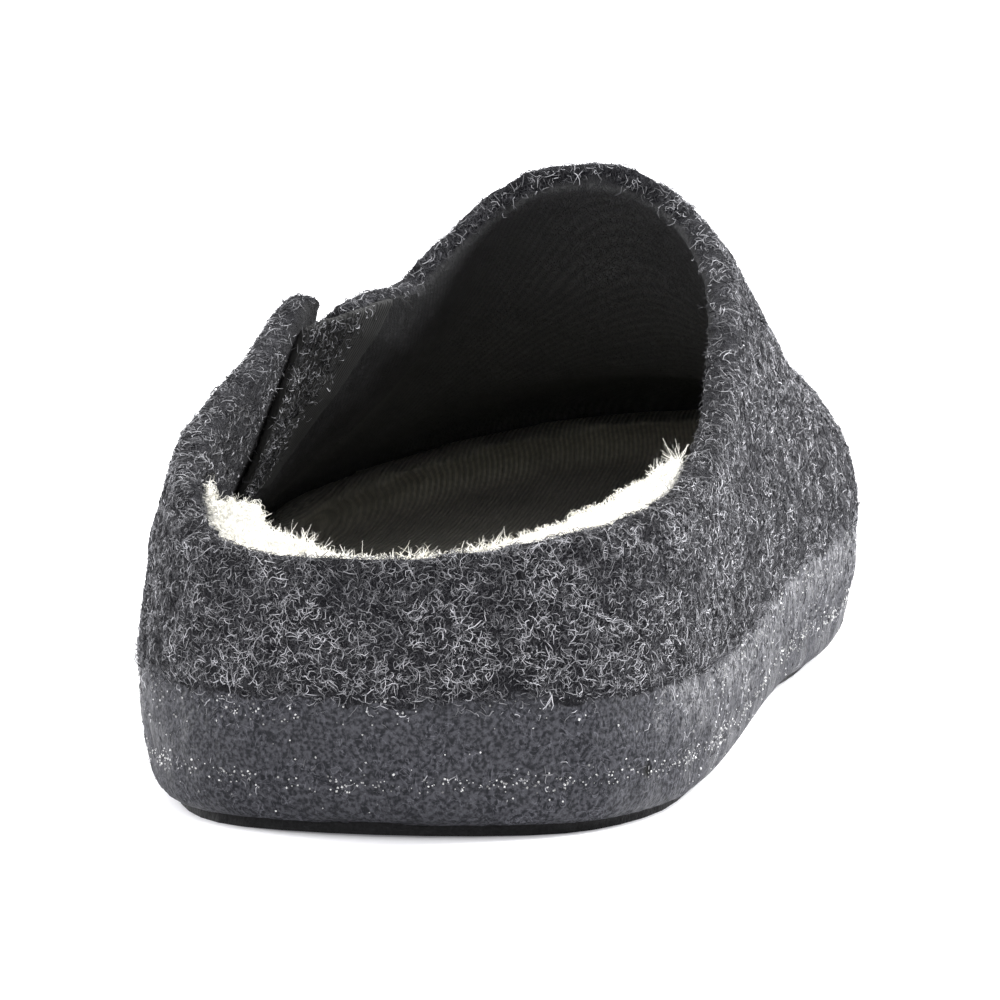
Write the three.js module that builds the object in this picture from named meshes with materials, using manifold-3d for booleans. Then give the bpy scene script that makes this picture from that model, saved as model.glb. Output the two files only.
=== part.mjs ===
// A left felt slipper: a moulded wool-felt upper with a low open heel and a slit with an elastic gore
// on its outer side, standing in a rubber-coated sole cup on a thin rubber outsole, with a contoured
// footbed and a white fleece lining round the heel.
// Millimetres. +Y points from heel to toe, +X to the inner side of the foot, +Z up.
import * as THREE from 'three';
import { mergeVertices } from 'three/addons/utils/BufferGeometryUtils.js';
import Module from 'manifold-3d';

const wasm = await Module();
wasm.setup();

// Driving sizes of the last
const length = 275;
const heelWidth = 89;
const ballWidthLateral = 55;
const ballWidthMedial = 46;
const toeShift = 9;
const insoleLevelAtHeel = 17;
const instepHeight = 88;
const toeBoxHeight = 45;
const ridgeShift = 9.5;

// Collar
const heelRimHeight = 42;
const throatDistance = 141;
const rimBlend = heelWidth / 3;

// Felt, sole and lining thicknesses
const feltWall = 4.6;
const coatWall = 2.2;
const soleBandHeight = 21.5;
const soleCornerDepth = 6.5;
const cupFloorHeight = 11;
const archRise = 1.6;
const toeSpring = 7;
const heelBevel = 0.7;
const jointGap = 0.3;

// Outsole, set into the underside of the cup
const outsoleThickness = 3;
const outsoleShows = 1.2;
const outsoleInset = 6;
const treadPitch = 9;
const treadGrooveWidth = 2.6;
const treadGrooveDepth = 1.2;
const treadBorder = 6;
const heelPadStart = 28;
const heelPadEnd = 62;

// Footbed
const footbedLipHeight = 13.5;
const footbedLipWidth = 6;

// Slit, standing corner and gore on the lateral side
const slitDistance = 104;
const slitDepth = 26;
const slitWidth = 2.4;
const slitCorner = 3;
const frontDrop = 2.8;
const frontDropEnd = 136;
const frontRamp = 9;
const earFlare = 4;
const earLength = 30;
const goreWidth = 20;
const goreThickness = 1.4;
const goreBelowRim = 0.6;

// Fleece lining
const fleecePile = 9;
const fleeceBacking = 0.8;
const fleeceLumpPitch = 15;
const fleeceReachLateral = 28;
const fleeceReachMedial = 62;
const fleeceFullLateral = 0.8;
const fleeceFullMedial = 0.4;
const fleeceBelowRim = 1.2;
const fleeceDip = 2.4;
const fleeceDipWidth = heelWidth / 3;
const lockReach = 0.85;
const lockCount = 24;
const lockRadius = 2.4;
const lockLength = 7;
const lockStagger = 3;

// Mesh fineness
const stepsAlongSide = 34;
const stepsUnderBand = 4;
const stepsOverBand = 11;
const stepsOfProfile = 40;
const stepsAcross = 14;
const farOutside = 150;
const overrun = 20;

// Plan of the widest level. Each row is one station: its share of the length, the half widths as shares of
// the heel's half width and of the ball's on that side, and its share of the toe's shift to the inner side.
const planRows = [
  { along: 0.000, heelLateral: 0.00, ballLateral: 0.00, heelMedial: 0.00, ballMedial: 0.00, shift: 0.00 },
  { along: 0.012, heelLateral: 0.43, ballLateral: 0.00, heelMedial: 0.43, ballMedial: 0.00, shift: 0.00 },
  { along: 0.035, heelLateral: 0.67, ballLateral: 0.00, heelMedial: 0.70, ballMedial: 0.00, shift: 0.00 },
  { along: 0.075, heelLateral: 0.84, ballLateral: 0.00, heelMedial: 0.88, ballMedial: 0.00, shift: 0.00 },
  { along: 0.130, heelLateral: 0.95, ballLateral: 0.00, heelMedial: 0.99, ballMedial: 0.00, shift: 0.00 },
  { along: 0.200, heelLateral: 1.00, ballLateral: 0.00, heelMedial: 1.02, ballMedial: 0.00, shift: 0.00 },
  { along: 0.300, heelLateral: 0.74, ballLateral: 0.25, heelMedial: 0.77, ballMedial: 0.24, shift: 0.00 },
  { along: 0.420, heelLateral: 0.45, ballLateral: 0.53, heelMedial: 0.50, ballMedial: 0.50, shift: 0.00 },
  { along: 0.550, heelLateral: 0.12, ballLateral: 0.86, heelMedial: 0.16, ballMedial: 0.82, shift: 0.00 },
  { along: 0.640, heelLateral: 0.00, ballLateral: 1.00, heelMedial: 0.04, ballMedial: 0.95, shift: 0.00 },
  { along: 0.720, heelLateral: 0.00, ballLateral: 0.99, heelMedial: 0.00, ballMedial: 0.98, shift: 0.04 },
  { along: 0.800, heelLateral: 0.00, ballLateral: 0.91, heelMedial: 0.00, ballMedial: 0.89, shift: 0.16 },
  { along: 0.880, heelLateral: 0.00, ballLateral: 0.76, heelMedial: 0.00, ballMedial: 0.73, shift: 0.40 },
  { along: 0.940, heelLateral: 0.00, ballLateral: 0.57, heelMedial: 0.00, ballMedial: 0.54, shift: 0.65 },
  { along: 0.980, heelLateral: 0.00, ballLateral: 0.34, heelMedial: 0.00, ballMedial: 0.35, shift: 0.88 },
  { along: 1.000, heelLateral: 0.00, ballLateral: 0.00, heelMedial: 0.00, ballMedial: 0.00, shift: 1.00 },
];

// Crown of the last. rise runs from the toe box height (0) to the instep height (1), ridge is the share of
// the ridge's shift to the inner side, crown is the power of the section's curve, and lean is how far the
// lateral side bends in towards the top.
const crownRows = [
  { along: 0.00, rise: 1.56, ridge: 0.45, crown: 2.6, lean: 0.11 },
  { along: 0.11, rise: 1.56, ridge: 0.50, crown: 2.5, lean: 0.12 },
  { along: 0.20, rise: 1.56, ridge: 0.62, crown: 2.4, lean: 0.16 },
  { along: 0.29, rise: 1.51, ridge: 0.74, crown: 2.2, lean: 0.20 },
  { along: 0.36, rise: 1.37, ridge: 0.84, crown: 2.1, lean: 0.24 },
  { along: 0.44, rise: 1.15, ridge: 0.95, crown: 2.0, lean: 0.36 },
  { along: 0.51, rise: 0.96, ridge: 1.00, crown: 2.0, lean: 0.42 },
  { along: 0.57, rise: 0.76, ridge: 1.00, crown: 2.0, lean: 0.34 },
  { along: 0.64, rise: 0.47, ridge: 1.00, crown: 2.0, lean: 0.20 },
  { along: 0.70, rise: 0.26, ridge: 0.95, crown: 2.0, lean: 0.13 },
  { along: 0.76, rise: 0.08, ridge: 0.90, crown: 2.0, lean: 0.08 },
  { along: 0.84, rise: -0.02, ridge: 0.85, crown: 2.2, lean: 0.03 },
  { along: 1.00, rise: -0.05, ridge: 0.85, crown: 2.3, lean: 0.00 },
];

// Collar line from the side: share of the way to the throat, and the rise from the heel rim (0) to the
// instep (1) on either side.
const rimRows = [
  { along: -0.150, lateral: 0.00, medial: 0.05 },
  { along: 0.030, lateral: 0.00, medial: 0.05 },
  { along: 0.085, lateral: 0.03, medial: 0.08 },
  { along: 0.156, lateral: 0.11, medial: 0.11 },
  { along: 0.255, lateral: 0.22, medial: 0.16 },
  { along: 0.390, lateral: 0.33, medial: 0.25 },
  { along: 0.567, lateral: 0.46, medial: 0.41 },
  { along: 0.709, lateral: 0.60, medial: 0.57 },
  { along: 0.851, lateral: 0.64, medial: 0.69 },
  { along: 0.922, lateral: 0.69, medial: 0.77 },
  { along: 0.965, lateral: 0.78, medial: 0.85 },
  { along: 1.000, lateral: 0.97, medial: 0.98 },
  { along: 1.040, lateral: 1.60, medial: 1.60 },
];

// Smooth curve through one column of a table, read at a share of the length.
function read(rows, column, at) {
  const last = rows.length - 1;
  const t = Math.min(Math.max(at, rows[0].along), rows[last].along);
  let i = 0;
  while (i < last - 1 && t > rows[i + 1].along) i++;
  const slope = (k) => {
    const before = rows[Math.max(k - 1, 0)];
    const after = rows[Math.min(k + 1, last)];
    return (after[column] - before[column]) / (after.along - before.along);
  };
  const span = rows[i + 1].along - rows[i].along;
  const s = (t - rows[i].along) / span;
  const s2 = s * s;
  const s3 = s2 * s;
  return (2 * s3 - 3 * s2 + 1) * rows[i][column] + (s3 - 2 * s2 + s) * span * slope(i)
    + (3 * s2 - 2 * s3) * rows[i + 1][column] + (s3 - s2) * span * slope(i + 1);
}

function smoothstep(low, high, value) {
  return THREE.MathUtils.smoothstep(value, low, high);
}

// The plan's widths are read over the angle of a half circle, so that heel and toe come out round.
const planByAngle = planRows.map((row) => ({ ...row, along: Math.acos(1 - 2 * row.along) / Math.PI }));

function stationAt(angleShare) {
  return length * (1 - Math.cos(Math.PI * angleShare)) / 2;
}

// One point of the plan at the widest level. side is -1 on the lateral and 1 on the medial side.
function planPoint(side, angleShare) {
  const name = side < 0 ? 'Lateral' : 'Medial';
  const ball = side < 0 ? ballWidthLateral : ballWidthMedial;
  const half = read(planByAngle, 'heel' + name, angleShare) * heelWidth / 2
    + read(planByAngle, 'ball' + name, angleShare) * ball;
  return new THREE.Vector2(
    read(planByAngle, 'shift', angleShare) * toeShift + side * Math.max(half, 0),
    stationAt(angleShare),
  );
}

// Underside from the side: a bevel at the back, a low arch and the toe spring.
function groundRise(y) {
  const share = THREE.MathUtils.clamp(y / length, 0, 1);
  const arch = archRise * smoothstep(0.28, 0.42, share) * (1 - smoothstep(0.5, 0.62, share));
  const toe = Math.max(0, (share - 0.7) / 0.3);
  const heel = Math.max(0, 1 - share / 0.06);
  return arch + toeSpring * toe ** 1.8 + heelBevel * heel ** 2;
}

// The ridge that the sections close on runs from over the heel to over the toes.
const ridgeStart = heelWidth / 2;
const ridgeEnd = length * 0.82;
const ridgeBlend = 22;

function softMax(a, b) {
  return (a + b + Math.hypot(a - b, ridgeBlend)) / 2;
}

function ridgeStation(y) {
  return -softMax(-softMax(y, ridgeStart), -ridgeEnd);
}

function crownHeight(share) {
  return toeBoxHeight + (instepHeight - toeBoxHeight) * read(crownRows, 'rise', share);
}

// A column of the whole slipper's outer form, from the middle of the underside over the sole's corner
// and the wall up to the ridge.
function column(side, angleShare) {
  const edge = planPoint(side, angleShare);
  const station = ridgeStation(edge.y);
  const share = station / length;
  const middle = new THREE.Vector2(read(planByAngle, 'shift', angleShare) * toeShift, station);
  const ridge = new THREE.Vector2(middle.x + read(crownRows, 'ridge', share) * ridgeShift, station);
  const base = groundRise(edge.y) + outsoleShows;
  const widest = groundRise(edge.y) + soleBandHeight;
  const top = crownHeight(share) + groundRise(station);
  const inward = middle.clone().sub(edge);
  const reach = inward.length();
  const points = [new THREE.Vector3(middle.x, middle.y, groundRise(station) + outsoleShows)];
  for (let i = 0; i <= stepsUnderBand; i++) {
    const angle = (Math.PI / 2) * (1 - i / stepsUnderBand);
    const depth = soleCornerDepth * (1 - Math.cos(angle) ** 0.8);
    const foot = edge.clone().addScaledVector(inward, depth / reach);
    points.push(new THREE.Vector3(foot.x, foot.y, widest - (widest - base) * Math.sin(angle) ** 0.9));
  }
  const power = 2 / read(crownRows, 'crown', share);
  const lean = side < 0 ? read(crownRows, 'lean', share) * smoothstep(0.02, 0.2, angleShare) : 0;
  for (let i = 1; i <= stepsOverBand; i++) {
    const angle = (Math.PI / 2) * (i / stepsOverBand);
    const up = Math.sin(angle) ** power;
    const out = i < stepsOverBand ? Math.cos(angle) ** power * (1 - lean * smoothstep(0, 0.65, up)) : 0;
    const plan = ridge.clone().lerp(edge, out);
    points.push(new THREE.Vector3(plan.x, plan.y, widest + (top - widest) * up));
  }
  return points;
}

// Outer form as one closed mesh with a normal at every vertex, so that a wall is a step along it.
function wholeForm() {
  const columns = [];
  for (let i = 0; i < stepsAlongSide; i++) columns.push(column(-1, i / stepsAlongSide));
  for (let i = stepsAlongSide; i > 0; i--) columns.push(column(1, i / stepsAlongSide));
  const rows = columns[0].length;
  const index = [];
  columns.forEach((_, c) => {
    const a = c * rows;
    const b = ((c + 1) % columns.length) * rows;
    for (let r = 0; r < rows - 1; r++) index.push(a + r, a + r + 1, b + r, b + r, a + r + 1, b + r + 1);
  });
  const geometry = new THREE.BufferGeometry().setFromPoints(columns.flat());
  geometry.setIndex(index);
  return withoutSlivers(mergeVertices(geometry, 1e-3));
}

// Triangles that two equal corners have closed up are dropped.
function withoutSlivers(geometry) {
  const from = geometry.index.array;
  const kept = [];
  for (let i = 0; i < from.length; i += 3) {
    const [a, b, c] = from.slice(i, i + 3);
    if (a !== b && b !== c && c !== a) kept.push(a, b, c);
  }
  geometry.setIndex(kept);
  geometry.computeVertexNormals();
  return geometry;
}

function solidFrom(geometry) {
  const bare = geometry.index ? geometry.toNonIndexed() : geometry.clone();
  bare.deleteAttribute('normal');
  bare.deleteAttribute('uv');
  const merged = withoutSlivers(mergeVertices(bare, 1e-4));
  return new wasm.Manifold(new wasm.Mesh({
    numProp: 3,
    vertProperties: merged.attributes.position.array,
    triVerts: new Uint32Array(merged.index.array),
  }));
}

const form = wholeForm();

// The form drawn in along its normals by a depth, which may depend on the place.
function formAt(depthAt) {
  const drawn = form.clone();
  const place = drawn.attributes.position;
  const point = new THREE.Vector3();
  const normal = new THREE.Vector3();
  for (let i = 0; i < place.count; i++) {
    point.fromBufferAttribute(place, i);
    normal.fromBufferAttribute(form.attributes.normal, i);
    point.addScaledVector(normal, -depthAt(point));
    place.setXYZ(i, point.x, point.y, point.z);
  }
  return solidFrom(drawn);
}

// A block between two heights given over the plan.
function block(low, high, across, along) {
  const size = length + 2 * overrun;
  const geometry = new THREE.BoxGeometry(heelWidth * 2, size, 1, across, along, 1);
  const place = geometry.attributes.position;
  for (let i = 0; i < place.count; i++) {
    const x = place.getX(i);
    const y = place.getY(i) + length / 2;
    place.setXYZ(i, x, y, place.getZ(i) > 0 ? high(x, y) : low(x, y));
  }
  return solidFrom(geometry);
}

// Everything under a height above the curved underside.
function under(height) {
  return block(() => -farOutside, (x, y) => groundRise(y) + height, 1, stepsOfProfile);
}

function collarHeight(x, y) {
  const at = y / throatDistance;
  const rise = THREE.MathUtils.lerp(
    read(rimRows, 'lateral', at), read(rimRows, 'medial', at), smoothstep(0, rimBlend, x),
  );
  return heelRimHeight + (instepHeight - heelRimHeight) * rise;
}

// What is taken away above the collar line, lowered by a drop that may depend on the place.
function overCollar(dropAt) {
  const low = (x, y) => (y < throatDistance * 1.05 ? collarHeight(x, y) - dropAt(x) : farOutside - 1);
  return block(low, () => farOutside, stepsAcross, stepsOfProfile * 2);
}

// A plate across one side of the slipper, its outline given from the side as (y, z).
function plateAcross(outline, side) {
  const shape = new THREE.Shape(outline.map(([y, z]) => new THREE.Vector2(y, z)));
  const geometry = new THREE.ExtrudeGeometry(shape, { depth: farOutside, bevelEnabled: false });
  geometry.applyMatrix4(new THREE.Matrix4().makeBasis(
    new THREE.Vector3(0, 1, 0), new THREE.Vector3(0, 0, 1), new THREE.Vector3(1, 0, 0),
  ));
  geometry.translate(side < 0 ? -farOutside : 0, 0, 0);
  return solidFrom(geometry);
}

// The slit, and the collar in front of it cut lower than the corner behind.
function slit() {
  const behind = collarHeight(-heelWidth, slitDistance);
  const front = behind - frontDrop;
  const foot = front - slitDepth;
  const end = collarHeight(-heelWidth, frontDropEnd);
  return plateAcross([
    [slitDistance + slitWidth / 2, foot],
    [slitDistance + slitWidth, front - slitCorner],
    [slitDistance + slitWidth + slitCorner, front],
    [frontDropEnd - frontRamp, front + frontRamp / 6],
    [frontDropEnd, end],
    [frontDropEnd, end + overrun],
    [slitDistance - overrun, end + overrun],
    [slitDistance - 3 * slitCorner, behind],
    [slitDistance - slitCorner, behind - slitCorner / 4],
    [slitDistance, behind - slitCorner],
    [slitDistance, foot],
  ], -1);
}

const outer = formAt(() => 0);
const insideFelt = formAt(() => feltWall);
const besideFelt = formAt(() => feltWall + jointGap);

// Behind the slit the corner of the collar stands out from the vamp.
function standOut(point) {
  if (point[0] > 0 || point[1] > slitDistance + jointGap) return;
  const start = slitDistance - earLength;
  const foot = collarHeight(point[0], slitDistance) - frontDrop - slitDepth;
  const share = smoothstep(start, slitDistance, point[1]) * smoothstep(foot, foot + slitDepth, point[2]);
  point[0] -= earFlare * share;
}

function upper() {
  const aboveBand = outer.subtract(under(soleBandHeight + jointGap));
  const shell = aboveBand.add(formAt(() => coatWall + jointGap)).subtract(insideFelt);
  return shell.subtract(under(cupFloorHeight + jointGap))
    .subtract(overCollar(() => 0))
    .subtract(slit())
    .warp(standOut);
}

// The outsole's outline, a distance in from the widest level.
function soleOutline(inset) {
  const points = [];
  for (let i = 0; i < stepsAlongSide; i++) points.push(planPoint(-1, i / stepsAlongSide));
  for (let i = stepsAlongSide; i > 0; i--) points.push(planPoint(1, i / stepsAlongSide));
  return points.map((point, i) => {
    const before = points[(i + points.length - 1) % points.length];
    const after = points[(i + 1) % points.length];
    const along = after.clone().sub(before).normalize();
    return new THREE.Vector2(point.x + along.y * inset, point.y - along.x * inset);
  });
}

function soleBlock(inset) {
  const shape = new THREE.Shape(soleOutline(inset));
  const geometry = new THREE.ExtrudeGeometry(shape, { depth: 2 * overrun, bevelEnabled: false });
  return solidFrom(geometry.translate(0, 0, -overrun));
}

function soleCup() {
  const hollow = formAt(() => coatWall).subtract(under(cupFloorHeight));
  const recess = soleBlock(outsoleInset - jointGap).intersect(under(outsoleThickness + jointGap));
  return outer.intersect(under(soleBandHeight)).subtract(hollow).subtract(recess);
}

// Shallow channels across the outsole, except on the flat pad under the heel.
function tread() {
  const channels = [];
  for (let y = treadPitch * 1.5; y < length - treadPitch; y += treadPitch) {
    if (y > heelPadStart - treadPitch / 2 && y < heelPadEnd) continue;
    const channel = new THREE.BoxGeometry(heelWidth * 2, treadGrooveWidth, overrun);
    const depth = groundRise(y) + treadGrooveDepth;
    channels.push(solidFrom(channel.translate(0, y, depth - overrun / 2)));
  }
  return wasm.Manifold.union(channels).intersect(soleBlock(outsoleInset + treadBorder));
}

function outsole() {
  const plate = soleBlock(outsoleInset).intersect(under(outsoleThickness));
  return plate.subtract(under(0)).subtract(tread());
}

function footbed() {
  const raised = besideFelt.intersect(under(cupFloorHeight + footbedLipHeight));
  const dish = formAt(() => feltWall + jointGap + footbedLipWidth).subtract(under(insoleLevelAtHeel));
  return raised.subtract(under(cupFloorHeight + jointGap)).subtract(dish);
}

// Elastic gore: a strip against the inside of the felt, across the slit.
function gore() {
  const behind = formAt(() => feltWall + jointGap + goreThickness);
  const foot = collarHeight(-heelWidth, slitDistance) - frontDrop - slitDepth;
  const strip = plateAcross([
    [slitDistance - goreWidth / 2, foot - goreWidth / 4],
    [slitDistance + goreWidth / 2, foot - goreWidth / 4],
    [slitDistance + goreWidth / 2, instepHeight],
    [slitDistance - goreWidth / 2, instepHeight],
  ], -1);
  return besideFelt.subtract(behind).intersect(strip).subtract(overCollar(() => frontDrop + goreBelowRim));
}

// Fleece: a thick pile inside the heel, with locks that stand out of it.
function fleeceReach(x) {
  return THREE.MathUtils.mapLinear(x, -heelWidth / 2, heelWidth / 2, fleeceReachLateral, fleeceReachMedial);
}

// The pile lies lower in the middle of the back, where the heel treads it down.
function fleeceDrop(x) {
  return fleeceBelowRim + fleeceDip * (1 - smoothstep(0, fleeceDipWidth, Math.abs(x - heelWidth / 20)));
}

function pileDepth(point) {
  const full = point.x < 0 ? fleeceFullLateral : fleeceFullMedial;
  const fade = 1 - smoothstep(full, 1, point.y / fleeceReach(point.x));
  const turn = 2 * Math.PI / fleeceLumpPitch;
  const lumps = 0.85 + 0.15 * Math.sin(turn * (point.y + 0.7 * point.x)) * Math.cos(turn * 0.8 * point.z);
  return feltWall + jointGap + fleeceBacking + fleecePile * fade * lumps;
}

// A lock stands on the wall's point at its own height and starts halfway through the pile.
function lock(t) {
  const y = Math.abs(t) * lockReach * (t < 0 ? fleeceReachLateral : fleeceReachMedial);
  const wallPoints = column(t < 0 ? -1 : 1, Math.acos(1 - 2 * y / length) / Math.PI).slice(stepsUnderBand);
  const rim = collarHeight(wallPoints[0].x, wallPoints[0].y);
  const level = rim - fleeceDrop(wallPoints[0].x) - lockLength * 0.3 - lockStagger * Math.sin(t * 23) ** 2;
  const wall = wallPoints.find((point) => point.z > level);
  const inward = new THREE.Vector3(-wall.x, ridgeStart - wall.y, 0).normalize();
  const swing = Math.sin(t * 37);
  const tip = inward.clone().multiplyScalar(0.55 + 0.25 * swing).setZ(0.6).normalize();
  const cone = new THREE.ConeGeometry(lockRadius, lockLength * (1 + 0.3 * swing), 4, 2);
  cone.applyQuaternion(new THREE.Quaternion().setFromUnitVectors(new THREE.Vector3(0, 1, 0), tip));
  const depth = (feltWall + jointGap + pileDepth(wall)) / 2;
  const root = wall.clone().setZ(level).addScaledVector(inward, depth);
  return solidFrom(cone.translate(root.x, root.y, root.z));
}

function fleece() {
  const locks = [];
  for (let i = 0; i < lockCount; i++) locks.push(lock(((i + 0.5) / lockCount) * 2 - 1));
  const pile = besideFelt.subtract(formAt(pileDepth))
    .subtract(overCollar(fleeceDrop))
    .subtract(block(() => -farOutside, () => farOutside, 1, 1).warp((point) => {
      if (point[1] < 0) point[1] = fleeceReach(point[0] / 2);
    }));
  return pile.add(wasm.Manifold.union(locks).intersect(besideFelt))
    .subtract(under(cupFloorHeight + footbedLipHeight + jointGap));
}

function meshOf(solid, name, look) {
  const data = solid.getMesh();
  const geometry = new THREE.BufferGeometry();
  geometry.setAttribute('position', new THREE.BufferAttribute(data.vertProperties, 3));
  geometry.setIndex(new THREE.BufferAttribute(data.triVerts, 1));
  geometry.computeVertexNormals();
  const mesh = new THREE.Mesh(geometry, new THREE.MeshStandardMaterial({ metalness: 0, ...look }));
  mesh.name = name;
  return mesh;
}

const group = new THREE.Group();
group.add(
  meshOf(upper(), 'upper', { color: 0x3a3a40, roughness: 0.95 }),
  meshOf(soleCup(), 'sole_cup', { color: 0x454549, roughness: 0.5 }),
  meshOf(outsole(), 'outsole', { color: 0x141416, roughness: 0.6 }),
  meshOf(footbed(), 'footbed', { color: 0x2b2822, roughness: 0.9 }),
  meshOf(gore(), 'gore', { color: 0x1c1b19, roughness: 0.85 }),
  meshOf(fleece(), 'fleece_lining', { color: 0xeeeadf, roughness: 1 }),
);

// The origin is the middle of the slipper's box, on the floor.
const box = new THREE.Box3().setFromObject(group);
group.position.set(-(box.min.x + box.max.x) / 2, -(box.min.y + box.max.y) / 2, -box.min.z);

export default group;
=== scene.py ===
"""Looks of the left felt slipper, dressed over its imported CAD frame."""
import bpy
import math
import numpy as np
from mathutils import Matrix, Vector


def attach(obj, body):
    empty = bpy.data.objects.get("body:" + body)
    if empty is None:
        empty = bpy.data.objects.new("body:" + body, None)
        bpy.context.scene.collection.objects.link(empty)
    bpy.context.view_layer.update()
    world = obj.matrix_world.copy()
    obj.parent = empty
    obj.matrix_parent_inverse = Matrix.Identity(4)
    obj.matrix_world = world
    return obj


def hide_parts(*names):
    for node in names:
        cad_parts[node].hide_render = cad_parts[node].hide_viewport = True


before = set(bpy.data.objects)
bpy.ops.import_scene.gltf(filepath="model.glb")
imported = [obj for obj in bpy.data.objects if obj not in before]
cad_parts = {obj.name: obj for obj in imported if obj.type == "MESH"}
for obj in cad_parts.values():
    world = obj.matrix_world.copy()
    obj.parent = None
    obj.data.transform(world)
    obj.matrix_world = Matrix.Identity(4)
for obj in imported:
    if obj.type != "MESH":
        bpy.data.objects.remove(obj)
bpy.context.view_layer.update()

# The slipper's own sizes, in metres in its own frame
LENGTH = 0.275
HEEL_BACK = -0.1375
HEEL_MIDDLE = 0.0047
BAND_TOP = 0.0214
TOE_SPRING = 0.007
ARCH_RISE = 0.0016
SLIT = -0.0335
SLIT_FOOT = 0.0412
SLIT_DEPTH = 0.026
EAR_FLARE = 0.004
EAR_LENGTH = 0.03
COAT_PIT = (0.0435, -0.1165, 0.0087)
UNDER_VAMP = 0.05
UPPER_SPECKS = 0.0192
LOWER_SPECKS = 0.0088
FLEECE_END_LOWERED = 0.0032

# Fineness of the softened meshes, and sizes of the fibres
BODY_GRAIN = 0.0013
FOOTBED_GRAIN = 0.0018
STRIP_GRAIN = 0.0008
PILE_GRAIN = 0.0009
FIBRE_WIDTH = 0.00013
FIBRE_CURL = 3.2
FIBRE_TIP = 0.35
ROOT_DEPTH = 0.0001

# Depth of the relief in the materials
RELIEF = 0.001


def smoothstep(low, high, value):
    t = np.clip((value - low) / (high - low), 0, 1)
    return t * t * (3 - 2 * t)


def ground_rise(y):
    """Height of the underside over the floor, along the slipper."""
    share = (y - HEEL_BACK) / LENGTH
    arch = ARCH_RISE * smoothstep(0.28, 0.42, share) * (1 - smoothstep(0.5, 0.62, share))
    return arch + TOE_SPRING * np.clip((share - 0.7) / 0.3, 0, 1) ** 1.8


# Meshes

def activate(piece):
    bpy.ops.object.select_all(action="DESELECT")
    piece.select_set(True)
    bpy.context.view_layer.objects.active = piece


def copy_of(node, name):
    """A closed copy of a CAD node's mesh, to be worked on."""
    piece = bpy.data.objects.new(name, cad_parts[node].data.copy())
    piece.data.materials.clear()
    bpy.context.collection.objects.link(piece)
    activate(piece)
    bpy.ops.object.mode_set(mode="EDIT")
    bpy.ops.mesh.select_all(action="SELECT")
    bpy.ops.mesh.remove_doubles(threshold=1e-6)
    bpy.ops.object.mode_set(mode="OBJECT")
    return piece


def apply(piece, kind, **settings):
    activate(piece)
    modifier = piece.modifiers.new(kind.title(), kind)
    for key, value in settings.items():
        setattr(modifier, key, value)
    bpy.ops.object.modifier_apply(modifier=modifier.name)


def softened(piece, voxel, rounds):
    """Rounds a faceted solid off, as felt or rubber is."""
    apply(piece, "REMESH", mode="VOXEL", voxel_size=voxel)
    apply(piece, "SMOOTH", factor=0.5, iterations=rounds)
    activate(piece)
    bpy.ops.object.shade_smooth()
    return piece


def read_points(mesh, field="co"):
    source = mesh.vertices if field == "co" else mesh.vertex_normals
    out = np.empty(len(source) * 3, np.float32)
    source.foreach_get("co" if field == "co" else "vector", out)
    return out.reshape(-1, 3).astype(float)


def set_points(mesh, co):
    mesh.vertices.foreach_set("co", np.ascontiguousarray(co, np.float32).ravel())
    mesh.update()


def point_value(mesh, name, values):
    layer = mesh.attributes.new(name, "FLOAT", "POINT")
    layer.data.foreach_set("value", np.ascontiguousarray(values, np.float32))


def waves(co, length, seed):
    """Smooth noise of about that wavelength, about -1 to 1."""
    rng = np.random.default_rng(seed)
    total = np.zeros(len(co))
    for _ in range(12):
        direction = rng.normal(size=3)
        direction *= 2 * math.pi / length / np.linalg.norm(direction)
        total += np.sin(co @ direction * rng.uniform(0.7, 1.5) + rng.uniform(0, 6.28))
    return total / 4


def outward(co):
    """Unit vectors away from the middle line of the foot's room."""
    axis = np.zeros_like(co)
    axis[:, 0] = HEEL_MIDDLE + 0.006 * smoothstep(-0.1, 0.0, co[:, 1])
    axis[:, 1] = np.clip(co[:, 1], -0.095, 0.085)
    axis[:, 2] = 0.034 + 0.016 * smoothstep(-0.09, -0.01, co[:, 1]) * (1 - smoothstep(0.0, 0.07, co[:, 1]))
    away = co - axis
    return away / np.linalg.norm(away, axis=1)[:, None]


def without_islands(piece):
    """Leaves the largest connected part, so that no closed bubble stays in the wall."""
    activate(piece)
    bpy.ops.object.mode_set(mode="EDIT")
    bpy.ops.mesh.select_all(action="SELECT")
    bpy.ops.mesh.separate(type="LOOSE")
    bpy.ops.object.mode_set(mode="OBJECT")
    parts = sorted(bpy.context.selected_objects, key=lambda part: len(part.data.vertices))
    name = piece.name
    for part in parts[:-1]:
        bpy.data.objects.remove(part)
    parts[-1].name = name
    return parts[-1]


def scatter(piece, count, keep, rng):
    """Points and normals spread evenly over the corners that keep gives a share to."""
    mesh = piece.data
    mesh.calc_loop_triangles()
    corners = np.empty(len(mesh.loop_triangles) * 3, np.int32)
    mesh.loop_triangles.foreach_get("vertices", corners)
    corners = corners.reshape(-1, 3)
    co, normal = read_points(mesh), read_points(mesh, "normal")
    a, b, c = co[corners[:, 0]], co[corners[:, 1]], co[corners[:, 2]]
    area = np.linalg.norm(np.cross(b - a, c - a), axis=1) * keep[corners].mean(axis=1)
    chosen = rng.choice(len(corners), count, p=area / area.sum())
    u, v = rng.random(count), rng.random(count)
    flip = u + v > 1
    u[flip], v[flip] = 1 - u[flip], 1 - v[flip]
    share = np.stack([1 - u - v, u, v], axis=1)[:, :, None]
    points = (co[corners[chosen]] * share).sum(axis=1)
    normals = (normal[corners[chosen]] * share).sum(axis=1)
    return points, normals / np.linalg.norm(normals, axis=1)[:, None]


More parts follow.
